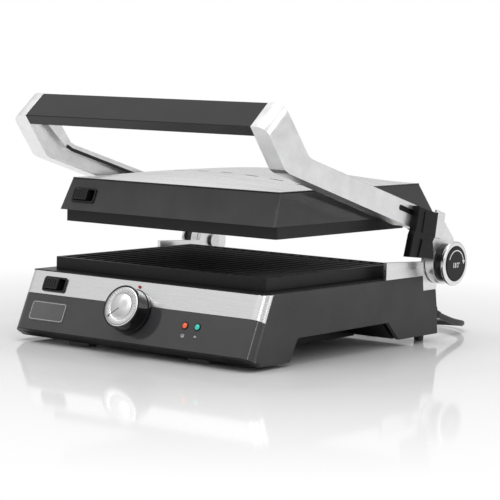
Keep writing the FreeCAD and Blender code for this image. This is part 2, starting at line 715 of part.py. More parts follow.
def shell():
    body = pyramid(SHELL_HALF_BOTTOM, SHELL_HALF_TOP, SHELL_FRONT_BOTTOM, SHELL_FRONT_TOP,
                   SHELL_REAR_BOTTOM, SHELL_REAR_TOP, SHELL_BOTTOM, SHELL_TOP)
    slanted = edges_where(body, lambda e: abs(e.tangentAt(e.FirstParameter).z) > 0.4)
    body = body.makeFillet(2.4, slanted)
    front_wall = WALL + 0.4
    rear_wall = WALL + 1.4
    inside = pyramid(SHELL_HALF_BOTTOM - WALL, SHELL_HALF_TOP - WALL,
                     SHELL_FRONT_BOTTOM + front_wall, SHELL_FRONT_TOP + front_wall,
                     SHELL_REAR_BOTTOM - rear_wall, SHELL_REAR_TOP - rear_wall,
                     SHELL_BOTTOM, SHELL_TOP - WALL)
    inside.translate(V(0, 0, -0.01))
    floor = box(-146.5, 146.5, SHELL_FRONT_BOTTOM + 4.0, SHELL_REAR_BOTTOM - 5.0,
                SHELL_BOTTOM + 0.1, SHELL_BOTTOM + 2.2)
    body = body.cut(inside)
    opening = box(-112, 112, UPPER_PLATE_FRONT + 14, UPPER_PLATE_FRONT + PLATE_DEPTH - 14,
                  100, SHELL_BOTTOM + 6)
    body = body.fuse(floor.cut(opening))
    window = rounded_box(31.0, 15.0, 40.0, 2.0, -20.0)
    body = body.cut(on_shell_front(window, -119.6, 159.2))
    shaft = rod_x(-200, 200, FLOAT_Y, FLOAT_Z, FLOAT_RADIUS + PIN_CLEARANCE)
    for side in (-1, 1):
        boss = rod_x(136.0, 147.0, FLOAT_Y, FLOAT_Z, FLOAT_RADIUS + 3.6)
        body = body.fuse(boss if side > 0 else mirrored(boss))
    return body.cut(shaft)


def cover():
    # Domed steel top with a rolled front edge and a row of vent slots.
    x = SHELL_HALF_TOP - 2.0
    y0 = SHELL_FRONT_TOP + 1.6
    y1 = SHELL_REAR_TOP - 1.2
    z = SHELL_TOP + 0.1

    def domed(lift, inset):
        rows = []
        for k in range(7):
            t = -1.0 + 2.0 * k / 6.0
            y_mid = (y0 + y1) / 2.0
            y = y_mid + t * ((y1 - y0) / 2.0 - inset)
            crown = COVER_RISE * (1.0 - t ** 4)
            points = []
            for j in range(9):
                s = -1.0 + 2.0 * j / 8.0
                points.append(V(s * (x - inset), y, z + lift + 1.5 + crown * (1.0 - s * s)))
            rows.append(points)
        surface = Part.BSplineSurface()
        surface.interpolate(rows)
        return surface

    skin = domed(0.0, 0.0).toShape()
    solid = skin.extrude(V(0, 0, -40))
    solid = solid.common(box(-x - 5, x + 5, y0 - 5, y1 + 5, z, z + 60))
    under = domed(-1.2, 0.0).toShape().extrude(V(0, 0, -40))
    inner = box(-x + 2.0, x - 2.0, y0 + 2.0, y1 - 2.0, z - 1, z + 60)
    solid = solid.cut(under.common(inner))
    for k in range(8):
        cx = (k - 3.5) * 34.5
        slot = rounded_box(19.0, 4.2, 40.0, 2.0, z - 5)
        slot.translate(V(cx, -38.0, 0))
        solid = solid.cut(slot)
    return largest(solid)


def hinge_pin():
    # Pin through the bracket and the arm, fixed in the drum, with a head inside the bracket.
    shaft = rod_x(BASE_HALF_WIDTH - 5.0, DRUM_OUTER - 1.0, HINGE_Y, HINGE_Z, PIN_RADIUS)
    head = rod_x(BASE_HALF_WIDTH - 8.0, BASE_HALF_WIDTH - 5.0, HINGE_Y, HINGE_Z, 8.0)
    return shaft.fuse(head)


def float_shaft():
    shaft = rod_x(-(ARM_OUTER - 4.4), ARM_OUTER - 4.4, FLOAT_Y, FLOAT_Z, FLOAT_RADIUS)
    return shaft


# ------------------------------------------------------------------ mains lead

RELIEF_START = V(150.0, 170.0, 32.6)
RELIEF_DIRECTION = V(0.0, 0.945, -0.327)
RELIEF_DIRECTION.normalize()
RELIEF_LENGTH = 22.0
CORD_START = RELIEF_START + RELIEF_DIRECTION * RELIEF_LENGTH
CORD_POINTS = [
    CORD_START,
    CORD_START + RELIEF_DIRECTION * 26.0,
    V(148.0, 243.0, 11.0),
    V(134.0, 268.0, 7.4),
    V(105.0, 280.0, 4.6),
    V(77.0, 269.0, 3.8),
    V(66.0, 241.0, 3.7),
    V(48.0, 217.0, 3.7),
    V(19.0, 203.4, 4.0),
    V(-11.0, 198.6, 4.5),
]


def rounded_path(points):
    # Straight runs joined by arcs that touch both of them.
    edges = []
    start = points[0]
    radii = []
    for before, corner, after in zip(points[:-2], points[1:-1], points[2:]):
        into = corner - before
        out = after - corner
        turn = into.getAngle(out)
        reach = 0.45 * min(into.Length, out.Length)
        radius = reach / math.tan(turn / 2.0)
        radii.append(radius)
        into.normalize()
        out.normalize()
        first = corner - into * reach
        last = corner + out * reach
        bisector = out - into
        bisector.normalize()
        centre = corner + bisector * (radius / math.cos(turn / 2.0))
        middle = centre - bisector * radius
        edges.append(Part.makeLine(start, first))
        edges.append(Part.Arc(first, middle, last).toShape())
        start = last
    edges.append(Part.makeLine(start, points[-1]))
    return Part.Wire(edges), radii


def cord():
    wire, radii = rounded_path(CORD_POINTS)
    print("cord radii", ", ".join("%.0f" % r for r in radii))
    direction = CORD_POINTS[1] - CORD_POINTS[0]
    circle = Part.Wire(Part.makeCircle(CORD_DIAMETER / 2.0, CORD_POINTS[0], direction))
    tube = wire.makePipeShell([circle], True, True)
    section = math.pi * (CORD_DIAMETER / 2.0) ** 2
    print("cord length %.0f  volume ratio %.4f" % (wire.Length, tube.Volume / (section * wire.Length)))
    return tube


def strain_relief(panel):
    # Tapered rubber sleeve leaving the rear panel at a slight downward slope.
    sleeve = Part.makeCone(5.4, 4.4, RELIEF_LENGTH, RELIEF_START, RELIEF_DIRECTION)
    for k in range(3):
        base = RELIEF_START + RELIEF_DIRECTION * (9.6 + 3.0 * k)
        ring = Part.makeCylinder(7.0, 1.2, base, RELIEF_DIRECTION)
        ring = ring.cut(Part.makeCylinder(3.9, 1.2, base, RELIEF_DIRECTION))
        sleeve = sleeve.cut(ring)
    return largest(sleeve.cut(panel))


def coil():
    # Wound spare length: one full turn on the floor and part of a second one on top of it.
    section_radius = CORD_DIAMETER / 2.0 + 0.02
    lower = Part.makeTorus(COIL_MEAN_RADIUS, section_radius, COIL_CENTRE, Z_AXIS)
    upper = Part.makeTorus(
        COIL_MEAN_RADIUS, section_radius, COIL_CENTRE + COIL_LAYER, Z_AXIS, -180, 180, COIL_LAST_TURN
    )
    upper.rotate(COIL_CENTRE, Z_AXIS, COIL_END_ANGLE)
    return lower.fuse(upper)


def tie():
    # Flat strap closed round both turns.
    half = CORD_DIAMETER / 2.0 + 0.4
    low = COIL_CENTRE.z - half
    high = COIL_CENTRE.z + COIL_LAYER.z + half
    x0 = COIL_CENTRE.x - TIE_WIDTH / 2.0
    middle = COIL_CENTRE.y + COIL_MEAN_RADIUS
    wall = TIE_THICKNESS
    outer = box(x0, x0 + TIE_WIDTH, middle - half - wall, middle + half + wall, low - wall, high + wall)
    outer = outer.makeFillet(1.6, edges_where(outer, lambda e: abs(e.tangentAt(e.FirstParameter).x) > 0.99))
    inner = box(x0 - 1, x0 + TIE_WIDTH + 1, middle - half, middle + half, low, high)
    inner = inner.makeFillet(1.0, edges_where(inner, lambda e: abs(e.tangentAt(e.FirstParameter).x) > 0.99))
    strap = outer.cut(inner)
    strap.rotate(COIL_CENTRE, Z_AXIS, 95.0)
    return strap


PLUG_RADIUS = 13.0
PLUG_RISE = 0.05               # the plug's nose lies a little higher than its tail
PLUG_TANGENT = V(math.sin(math.radians(COIL_END_ANGLE)), -math.cos(math.radians(COIL_END_ANGLE)), 0.0)
PLUG_TAIL = COIL_CENTRE + COIL_LAYER + V(-PLUG_TANGENT.y, PLUG_TANGENT.x, 0.0) * COIL_MEAN_RADIUS
PLUG_DIRECTION = PLUG_TANGENT + Z_AXIS * PLUG_RISE
PLUG_DIRECTION.normalize()


def along_plug(distance):
    return PLUG_TAIL + PLUG_DIRECTION * distance


def plug(bundle):
    # Moulded round plug lying beside the coil, its tapered tail meeting the last turn.
    tail = Part.makeCone(4.4, 8.0, 24.0, along_plug(0.0), PLUG_DIRECTION)
    shoulder = Part.makeCone(8.0, 11.0, 3.0, along_plug(24.0), PLUG_DIRECTION)
    grip_part = Part.makeCone(11.0, PLUG_RADIUS - 0.6, 18.0, along_plug(27.0), PLUG_DIRECTION)
    flange = Part.makeCylinder(PLUG_RADIUS, 10.0, along_plug(45.0), PLUG_DIRECTION)
    body = tail.multiFuse([shoulder, grip_part, flange])
    return largest(body.cut(bundle))


def plug_pins():
    # Two round contacts, side by side.
    across = PLUG_DIRECTION.cross(Z_AXIS)
    across.normalize()
    pins = []
    for side in (-1, 1):
        start = along_plug(55.0) + across * (side * 8.0)
        pins.append(Part.makeCylinder(2.4, 19.0, start, PLUG_DIRECTION))
    return Part.makeCompound(pins)


def terminal_block():
    return box(112, 130, 128, 150, 32, 46)


def main():
    os.makedirs("parts", exist_ok=True)
    right_panel = side_panel()
    save("base_right_side", right_panel)
    save("base_left_side", mirrored(right_panel))
    save("front_steel_band", steel_band())
    front = fascia()
    save("front_fascia", front)
    save("front_lip", lip(front))
    save("base_deck", deck())
    panel = rear_panel()
    save("base_rear_panel", panel)
    save("base_bottom_cover", bottom_cover())
    save("rubber_feet_front", front_feet())
    save("rubber_feet_rear", rear_feet())
    save("badge_plate", on_front(badge(), -121.0, 34.4))
    save("index_dot", on_front(index_dot(), KNOB_X, 70.6))

    save("lower_plate", grill_plate(LOWER_PLATE_FRONT, LOWER_PLATE_BOTTOM, True))
    save("lower_heater", heating_element(LOWER_PLATE_FRONT, LOWER_PLATE_BOTTOM - 5.0, 100))
    save("lower_reflector", reflector(LOWER_PLATE_FRONT, LOWER_PLATE_BOTTOM - 19.0, True))
    save("thermostat", on_front(thermostat(), KNOB_X, KNOB_Z))
    save("lamp_board", on_front(lamp_board(), LED_X[0], LED_Z))
    save("lamp_power", on_front(lamp(), LED_X[0], LED_Z))
    save("lamp_ready", on_front(lamp(), LED_X[1], LED_Z))
    save("terminal_block", terminal_block())
    save("lower_latch_frame", on_front(latch_frame(), -121.8, 62.9))
    save("lower_latch", on_front(latch_slider(), -121.8, 62.9))
    save("knob_body", on_front(knob_body(), KNOB_X, KNOB_Z))
    save("knob_disc", on_front(knob_disc(), KNOB_X, KNOB_Z))
    save("knob_shaft", on_front(knob_shaft(), KNOB_X, KNOB_Z))

    right_bracket = bracket()
    save("hinge_bracket_right", right_bracket)
    save("hinge_bracket_left", mirrored(right_bracket))
    right_pin = hinge_pin()
    save("hinge_pin_right", right_pin)
    save("hinge_pin_left", mirrored(right_pin))
    right_drum = drum()
    save("hinge_drum_right", right_drum)
    save("hinge_drum_left", mirrored(right_drum))
    right_ring = drum_ring(20.0)
    save("hinge_ring_right", right_ring)
    save("hinge_ring_left", mirrored(right_ring))
    save("release_button", release_button())
    save("hinge_cap_left", mirrored(plain_cap()))

    right_arm = arm()
    save("arm_right", right_arm)
    save("arm_left", mirrored(right_arm))
    save("arm_trim_right", arm_trim())
    save("arm_trim_left", mirrored(arm_trim()))
    save("grip", grip())
    save("lock_strap", strap())
    save("height_lock", lock_housing())
    save("height_lock_pin", lock_pin())

    save("float_shaft", float_shaft())
    save("upper_shell", shell())
    save("top_cover", cover())
    save("upper_plate", grill_plate(UPPER_PLATE_FRONT, UPPER_PLATE_BOTTOM, False))
    save("upper_heater", heating_element(UPPER_PLATE_FRONT, UPPER_PLATE_BOTTOM + PLATE_HEIGHT + 4.6, 100))
    save("upper_reflector", reflector(UPPER_PLATE_FRONT, SHELL_BOTTOM + 9.0, False))
    save("upper_latch_frame", on_shell_front(latch_frame(), -119.6, 159.2))
    save("upper_latch", on_shell_front(latch_slider(), -119.6, 159.2))

    save("strain_relief", strain_relief(panel))
    bundle = coil()
    save("cord_coil", bundle)
    save("power_cord", cord().cut(bundle))
    save("cable_tie", tie())
    save("plug", plug(bundle))
    save("plug_pins", plug_pins())


main()
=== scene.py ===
import json
import math

import bmesh
import bpy
from mathutils import Matrix, Vector


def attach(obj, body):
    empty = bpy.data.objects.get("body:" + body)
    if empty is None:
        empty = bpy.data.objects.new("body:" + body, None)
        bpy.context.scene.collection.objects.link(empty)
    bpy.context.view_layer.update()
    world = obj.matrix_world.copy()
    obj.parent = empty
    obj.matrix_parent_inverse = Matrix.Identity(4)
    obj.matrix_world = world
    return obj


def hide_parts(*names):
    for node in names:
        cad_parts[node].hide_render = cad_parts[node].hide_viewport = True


# Looks of a contact grill (panini press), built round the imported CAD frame.
# Metres; X to the right seen from the front, Y to the back, Z up.

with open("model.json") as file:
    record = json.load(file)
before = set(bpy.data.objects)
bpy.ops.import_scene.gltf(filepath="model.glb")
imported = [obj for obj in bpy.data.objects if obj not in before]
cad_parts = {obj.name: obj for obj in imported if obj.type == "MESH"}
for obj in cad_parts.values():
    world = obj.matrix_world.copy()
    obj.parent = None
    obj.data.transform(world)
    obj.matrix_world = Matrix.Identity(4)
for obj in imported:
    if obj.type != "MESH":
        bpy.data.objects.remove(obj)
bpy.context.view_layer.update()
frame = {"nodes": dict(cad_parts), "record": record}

Z_AXIS = Vector((0, 0, 1))


# ---------------------------------------------------------------- camera

CAMERA_EYE = Vector((1.4157, -1.7779, 0.3209))
CAMERA_AIM = Vector((0.0, 0.00525, 0.110))
CAMERA_ROLL = math.radians(1.26)
CAMERA_LENS = 147.42
CAMERA_SHIFT = (0.0315, -0.0168)


def make_camera():
    back = (CAMERA_EYE - CAMERA_AIM).normalized()
    right = (-back).cross(Z_AXIS).normalized()
    up = right.cross(-back)
    level_right = right * math.cos(CAMERA_ROLL) + up * math.sin(CAMERA_ROLL)
    level_up = up * math.cos(CAMERA_ROLL) - right * math.sin(CAMERA_ROLL)
    data = bpy.data.cameras.new("camera")
    data.sensor_width = 36.0
    data.lens = CAMERA_LENS
    data.shift_x, data.shift_y = CAMERA_SHIFT
    data.clip_start = 0.01
    camera = bpy.data.objects.new("camera", data)
    camera.matrix_world = Matrix((
        (level_right.x, level_up.x, back.x, CAMERA_EYE.x),
        (level_right.y, level_up.y, back.y, CAMERA_EYE.y),
        (level_right.z, level_up.z, back.z, CAMERA_EYE.z),
        (0, 0, 0, 1),
    ))
    bpy.context.scene.collection.objects.link(camera)
    bpy.context.scene.camera = camera


make_camera()


# ---------------------------------------------------------------- small mesh helpers

def link(name, mesh):
    piece = bpy.data.objects.new(name, mesh)
    bpy.context.scene.collection.objects.link(piece)
    return piece


def mesh_piece(name, bm, smooth=True):
    bmesh.ops.recalc_face_normals(bm, faces=bm.faces)
    mesh = bpy.data.meshes.new(name)
    bm.to_mesh(mesh)
    bm.free()
    mesh.shade_smooth() if smooth else mesh.shade_flat()
    return link(name, mesh)


def place(piece, origin, normal, up=Z_AXIS):
    # Turns a piece drawn in its own XY plane so that its Z runs along normal.
    z = Vector(normal).normalized()
    x = Vector(up).cross(z).normalized()
    y = z.cross(x)
    piece.matrix_world = Matrix((
        (x.x, y.x, z.x, origin[0]),
        (x.y, y.y, z.y, origin[1]),
        (x.z, y.z, z.z, origin[2]),
        (0, 0, 0, 1),
    ))
    return piece


def lathe(name, profile, steps=96):
    # Turns a profile of (radius, height) points about Z into a closed surface.
    bm = bmesh.new()
    rings = []
    for radius, height in profile:
        if radius < 1e-9:
            rings.append([bm.verts.new((0, 0, height))])
            continue
        ring = []
        for k in range(steps):
            angle = 2 * math.pi * k / steps
            ring.append(bm.verts.new((radius * math.cos(angle), radius * math.sin(angle), height)))
        rings.append(ring)
    for low, high in zip(rings[:-1], rings[1:]):
        for k in range(steps):
            a = low[k % len(low)]
            b = low[(k + 1) % len(low)]
            c = high[(k + 1) % len(high)]
            d = high[k % len(high)]
            corners = list(dict.fromkeys((a, b, c, d)))
            if len(corners) > 2:
                bm.faces.new(corners)
    return mesh_piece(name, bm)


def flat_shape(name, outlines, thickness):
    # Raised flat print: each outline is a list of (x, y) points, given a little thickness.
    bm = bmesh.new()
    for outline in outlines:
        low = [bm.verts.new((x, y, 0.0)) for x, y in outline]
        high = [bm.verts.new((x, y, thickness)) for x, y in outline]
        bm.faces.new(high)
        bm.faces.new(low[::-1])
        for k in range(len(outline)):
            n = (k + 1) % len(outline)
            bm.faces.new((low[k], low[n], high[n], high[k]))
    return mesh_piece(name, bm, smooth=False)


def arc_band(inner, outer, start, end, steps=24):
    # Outline of a curved band between two radii, angles in degrees.
    points = []
    for k in range(steps + 1):
        angle = math.radians(start + (end - start) * k / steps)
        points.append((outer * math.cos(angle), outer * math.sin(angle)))
    for k in range(steps, -1, -1):
        angle = math.radians(start + (end - start) * k / steps)
        points.append((inner * math.cos(angle), inner * math.sin(angle)))
    return points


def bar(x, y, width, height, turn=0.0):
    # Outline of a small rectangle about (x, y), turned by an angle in degrees.
    angle = math.radians(turn)
    points = []
    for sx, sy in ((-0.5, -0.5), (0.5, -0.5), (0.5, 0.5), (-0.5, 0.5)):
        px = sx * width
        py = sy * height
        points.append((
            x + px * math.cos(angle) - py * math.sin(angle),
            y + px * math.sin(angle) + py * math.cos(angle),
        ))
    return points


def stadium(length, radius, steps):
    # Outline of a slot: two half circles joined by straight sides, length between their centres.
    right = arc_band(0.0, radius, -90, 90, steps)[:steps + 1]
    left = arc_band(0.0, radius, 90, 270, steps)[:steps + 1]
    return [(x + length / 2, y) for x, y in right] + [(x - length / 2, y) for x, y in left]


def moved(outlines, dx, dy):
    return [[(x + dx, y + dy) for x, y in outline] for outline in outlines]


# ---------------------------------------------------------------- mains lead

CENTRE_SHIFT = Vector((0, 0.00525, 0))     # from the drawing's own centre to the frame's
CORD_DIAMETER = 0.007
RELIEF_START = Vector((0.150, 0.170, 0.0326))
RELIEF_DIRECTION = Vector((0.0, 0.945, -0.327)).normalized()
RELIEF_LENGTH = 0.022
CORD_START = RELIEF_START + RELIEF_DIRECTION * RELIEF_LENGTH
CORD_POINTS = [
    CORD_START,
    CORD_START + RELIEF_DIRECTION * 0.026,
    (0.148, 0.243, 0.0110),
    (0.134, 0.268, 0.0074),
    (0.105, 0.280, 0.0046),
    (0.077, 0.269, 0.0038),
    (0.066, 0.241, 0.0037),
    (0.048, 0.217, 0.0037),
    (0.019, 0.2034, 0.0040),
    (-0.011, 0.1986, 0.0045),
]
COIL_CENTRE = Vector((-0.030, 0.238, 0.0045))
COIL_RADIUS = 0.040
COIL_LAYER = 0.0066            # rise from one turn to the one on top of it
COIL_TURN = 500.0              # degrees wound, starting from the coil's front
COIL_STEP = 20.0
COIL_CLIMB = (280.0, 350.0)    # the lead climbs onto its first turn between these
PLUG_RISE = 0.05               # slope of the last run, up into the plug
COIL_SLACK = 1.015             # the curve cuts inside its points, so they stand a little out
PLUG_HOLD = 0.010              # how far the lead runs into the plug


def coil_point(turned):
    # Wound clockwise seen from above.
    angle = math.radians(270.0 - turned)
    start, end = COIL_CLIMB
    climbed = min(max((turned - start) / (end - start), 0.0), 1.0)
    lift = COIL_LAYER * climbed * climbed * (3 - 2 * climbed)
    arm = Vector((math.cos(angle), math.sin(angle), 0)) * COIL_RADIUS * COIL_SLACK
    return COIL_CENTRE + arm + Vector((0, 0, lift))


def cord_route():
    points = [Vector(p) for p in CORD_POINTS]
    turned = COIL_STEP * 1.5
    while turned < COIL_TURN:
        points.append(coil_point(turned))
        turned += COIL_STEP
    end = math.radians(270.0 - COIL_TURN)
    arm = Vector((math.cos(end), math.sin(end), 0)) * COIL_RADIUS
    last = COIL_CENTRE + arm + Vector((0, 0, COIL_LAYER))
    ahead = Vector((math.sin(end), -math.cos(end), PLUG_RISE)).normalized()
    points.append(last)
    points.append(last + ahead * PLUG_HOLD)
    return [p + CENTRE_SHIFT for p in points]


def make_cord(material):
    points = cord_route()
    curve = bpy.data.curves.new("mains_lead", "CURVE")
    curve.dimensions = "3D"
    curve.bevel_depth = CORD_DIAMETER / 2
    curve.bevel_resolution = 6
    curve.resolution_u = 10
    curve.use_fill_caps = True
    spline = curve.splines.new("NURBS")
    spline.points.add(len(points) - 1)
    for slot, point in zip(spline.points, points):
        slot.co = (*point, 1.0)
    spline.order_u = 3
    spline.use_endpoint_u = True
    spline.use_smooth = True
    lead = link("mains_lead", curve)
    curve.materials.append(material)
    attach(lead, "base")
    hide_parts("power_cord", "cord_coil")


# ---------------------------------------------------------------- materials

def new_material(name):
    material = bpy.data.materials.new(name)
    material.use_nodes = True
    nodes = material.node_tree.nodes
    return material, nodes, material.node_tree.links, nodes["Principled BSDF"]


def position(nodes, links, stretch=(1, 1, 1)):
    # Object coordinates, stretched along chosen directions.
    where = nodes.new("ShaderNodeTexCoord")
    mapping = nodes.new("ShaderNodeMapping")
    mapping.inputs["Scale"].default_value = stretch
    links.new(where.outputs["Object"], mapping.inputs["Vector"])
    return mapping.outputs["Vector"]


def noise(nodes, links, vector, scale, detail=4.0, rough=0.55):
    texture = nodes.new("ShaderNodeTexNoise")
    texture.inputs["Scale"].default_value = scale
    texture.inputs["Detail"].default_value = detail
    texture.inputs["Roughness"].default_value = rough
    links.new(vector, texture.inputs["Vector"])
    return texture.outputs["Fac"]


def spread(nodes, links, value, low, high, start=0.3, end=0.7):
    ranged = nodes.new("ShaderNodeMapRange")
    ranged.inputs["From Min"].default_value = start
    ranged.inputs["From Max"].default_value = end
    ranged.inputs["To Min"].default_value = low
    ranged.inputs["To Max"].default_value = high
    links.new(value, ranged.inputs["Value"])
    return ranged.outputs["Result"]


def tint(nodes, links, value, dark, light):
    mix = nodes.new("ShaderNodeMix")
    mix.data_type = "RGBA"
    mix.inputs["A"].default_value = (*dark, 1)
    mix.inputs["B"].default_value = (*light, 1)
    links.new(value, mix.inputs["Factor"])
    return mix.outputs["Result"]


def rounded_edges(nodes, radius):
    edge = nodes.new("ShaderNodeBevel")
    edge.samples = 6
    edge.inputs["Radius"].default_value = radius
    return edge.outputs["Normal"]


def relief(nodes, links, height, distance, strength, normal=None):
    bump = nodes.new("ShaderNodeBump")
    bump.inputs["Distance"].default_value = distance
    bump.inputs["Strength"].default_value = strength
    links.new(height, bump.inputs["Height"])
    if normal is not None:
        links.new(normal, bump.inputs["Normal"])
    return bump.outputs["Normal"]


UNEVEN = 0.12                  # how far a plastic's tone strays either way


def shade(colour, factor):
    return tuple(min(c * factor, 1.0) for c in colour)


def plastic(name, colour, roughness, grain=900.0, depth=0.00006, coat=0.0, specular=0.3):
    # Moulded plastic: fine pebble grain, slight tone variation and softened edges.
    material, nodes, links, shader = new_material(name)
    where = position(nodes, links)
    blotch = spread(nodes, links, noise(nodes, links, where, 26.0, 3.0), 0.0, 1.0)
    links.new(tint(nodes, links, blotch, shade(colour, 1 - UNEVEN), shade(colour, 1 + UNEVEN)),
              shader.inputs["Base Color"])
    smear = noise(nodes, links, where, 9.0, 6.0, 0.65)
    links.new(spread(nodes, links, smear, roughness * 0.86, roughness * 1.14),
              shader.inputs["Roughness"])
    pebble = noise(nodes, links, where, grain, 2.0, 0.5)
    normal = rounded_edges(nodes, 0.0005)
    links.new(relief(nodes, links, pebble, depth, 0.55, normal), shader.inputs["Normal"])
    shader.inputs["Specular IOR Level"].default_value = specular
    if coat > 0:
        shader.inputs["Coat Weight"].default_value = coat
        shader.inputs["Coat Roughness"].default_value = 0.04
    return material


def brushed(name, colour, roughness, along, lines=2600.0):
    # Metal brushed in one direction: noise drawn out along it, in height, tone and roughness.
    material, nodes, links, shader = new_material(name)
    shader.inputs["Metallic"].default_value = 1.0
    scale = [1.0, 1.0, 1.0]
    scale["XYZ".index(along)] = 0.012
    where = position(nodes, links, tuple(scale))
    hair = noise(nodes, links, where, lines, 3.0, 0.7)
    broad = noise(nodes, links, where, lines * 0.12, 3.0, 0.6)
    tone = spread(nodes, links, hair, 0.0, 1.0, 0.25, 0.75)
    links.new(tint(nodes, links, tone, shade(colour, 0.9), shade(colour, 1.06)),
              shader.inputs["Base Color"])
    links.new(spread(nodes, links, broad, roughness * 0.8, roughness * 1.25), shader.inputs["Roughness"])
    normal = rounded_edges(nodes, 0.0006)
    links.new(relief(nodes, links, hair, 0.00001, 0.35, normal), shader.inputs["Normal"])
    return material


def metal(name, colour, roughness, edge=0.0004, depth=0.00002):
    # Turned, plated or cast metal with faint unevenness.
    material, nodes, links, shader = new_material(name)
    shader.inputs["Metallic"].default_value = 1.0
    where = position(nodes, links)
    cloud = noise(nodes, links, where, 60.0, 5.0, 0.6)
    tone = spread(nodes, links, cloud, 0, 1)
    links.new(tint(nodes, links, tone, shade(colour, 0.93), shade(colour, 1.05)),
              shader.inputs["Base Color"])
    links.new(spread(nodes, links, cloud, roughness * 0.8, roughness * 1.25), shader.inputs["Roughness"])
    fine = noise(nodes, links, where, 1800.0, 2.0)
    normal = rounded_edges(nodes, edge)
    links.new(relief(nodes, links, fine, depth, 0.3, normal), shader.inputs["Normal"])
    return material


def coated_casting(name, colour):
    # Non-stick coating over an aluminium casting: sprayed speckle and orange peel.
    material, nodes, links, shader = new_material(name)
    where = position(nodes, links)
    speck = nodes.new("ShaderNodeTexVoronoi")
    speck.inputs["Scale"].default_value = 1500.0
    links.new(where, speck.inputs["Vector"])
    fleck = spread(nodes, links, speck.outputs["Distance"], 1.0, 0.0, 0.08, 0.3)
    links.new(tint(nodes, links, fleck, colour, shade(colour, 2.4)), shader.inputs["Base Color"])
    shader.inputs["Specular IOR Level"].default_value = 0.28
    peel = noise(nodes, links, where, 700.0, 3.0, 0.6)
    links.new(spread(nodes, links, peel, 0.36, 0.56), shader.inputs["Roughness"])
    normal = rounded_edges(nodes, 0.0006)
    links.new(relief(nodes, links, peel, 0.00012, 0.6, normal), shader.inputs["Normal"])
    return material


def spun_metal(name, colour):
    # Disc turned on a lathe: fine rings about the piece's own Z and a stretched highlight.
    material, nodes, links, shader = new_material(name)
    shader.inputs["Metallic"].default_value = 1.0
    shader.inputs["Roughness"].default_value = 0.26
    shader.inputs["Anisotropic"].default_value = 0.86
    tangent = nodes.new("ShaderNodeTangent")
    tangent.direction_type = "RADIAL"
    tangent.axis = "Z"
    links.new(tangent.outputs["Tangent"], shader.inputs["Tangent"])
    where = nodes.new("ShaderNodeTexCoord")
    rings = nodes.new("ShaderNodeTexWave")
    rings.wave_type = "RINGS"
    rings.rings_direction = "Z"
    rings.inputs["Scale"].default_value = 900.0
    rings.inputs["Distortion"].default_value = 0.6
    rings.inputs["Detail"].default_value = 2.0
    links.new(where.outputs["Object"], rings.inputs["Vector"])
    links.new(tint(nodes, links, rings.outputs["Fac"], shade(colour, 0.9), shade(colour, 1.04)),
              shader.inputs["Base Color"])
    links.new(relief(nodes, links, rings.outputs["Fac"], 0.00001, 0.2), shader.inputs["Normal"])
    return material


def rubber(name, colour):
    material, nodes, links, shader = new_material(name)
    where = position(nodes, links)
    dust = noise(nodes, links, where, 120.0, 4.0)
    links.new(tint(nodes, links, spread(nodes, links, dust, 0, 1), colour, shade(colour, 1.7)),
              shader.inputs["Base Color"])
    links.new(spread(nodes, links, dust, 0.42, 0.6), shader.inputs["Roughness"])
    fine = noise(nodes, links, where, 1400.0, 2.0)
    links.new(relief(nodes, links, fine, 0.00005, 0.5), shader.inputs["Normal"])
    return material


def lamp_lens(name, colour, glow):
    # Lit lens with moulded flutes and an even glow.
    material, nodes, links, shader = new_material(name)
    where = position(nodes, links)
    flutes = noise(nodes, links, where, 700.0, 1.0)
    links.new(tint(nodes, links, spread(nodes, links, flutes, 0, 1), shade(colour, 0.7), colour),
              shader.inputs["Base Color"])
    shader.inputs["Roughness"].default_value = 0.12
    shader.inputs["Transmission Weight"].default_value = 0.25
    shader.inputs["Emission Color"].default_value = (*colour, 1)
    shader.inputs["Emission Strength"].default_value = glow
    links.new(relief(nodes, links, flutes, 0.00005, 0.4), shader.inputs["Normal"])
    return material


def print_ink(name, colour):
    material, nodes, links, shader = new_material(name)
    where = position(nodes, links)
    wear = noise(nodes, links, where, 900.0, 3.0)
    links.new(tint(nodes, links, spread(nodes, links, wear, 0, 1), shade(colour, 0.85), colour),
              shader.inputs["Base Color"])
    shader.inputs["Roughness"].default_value = 0.5
    return material


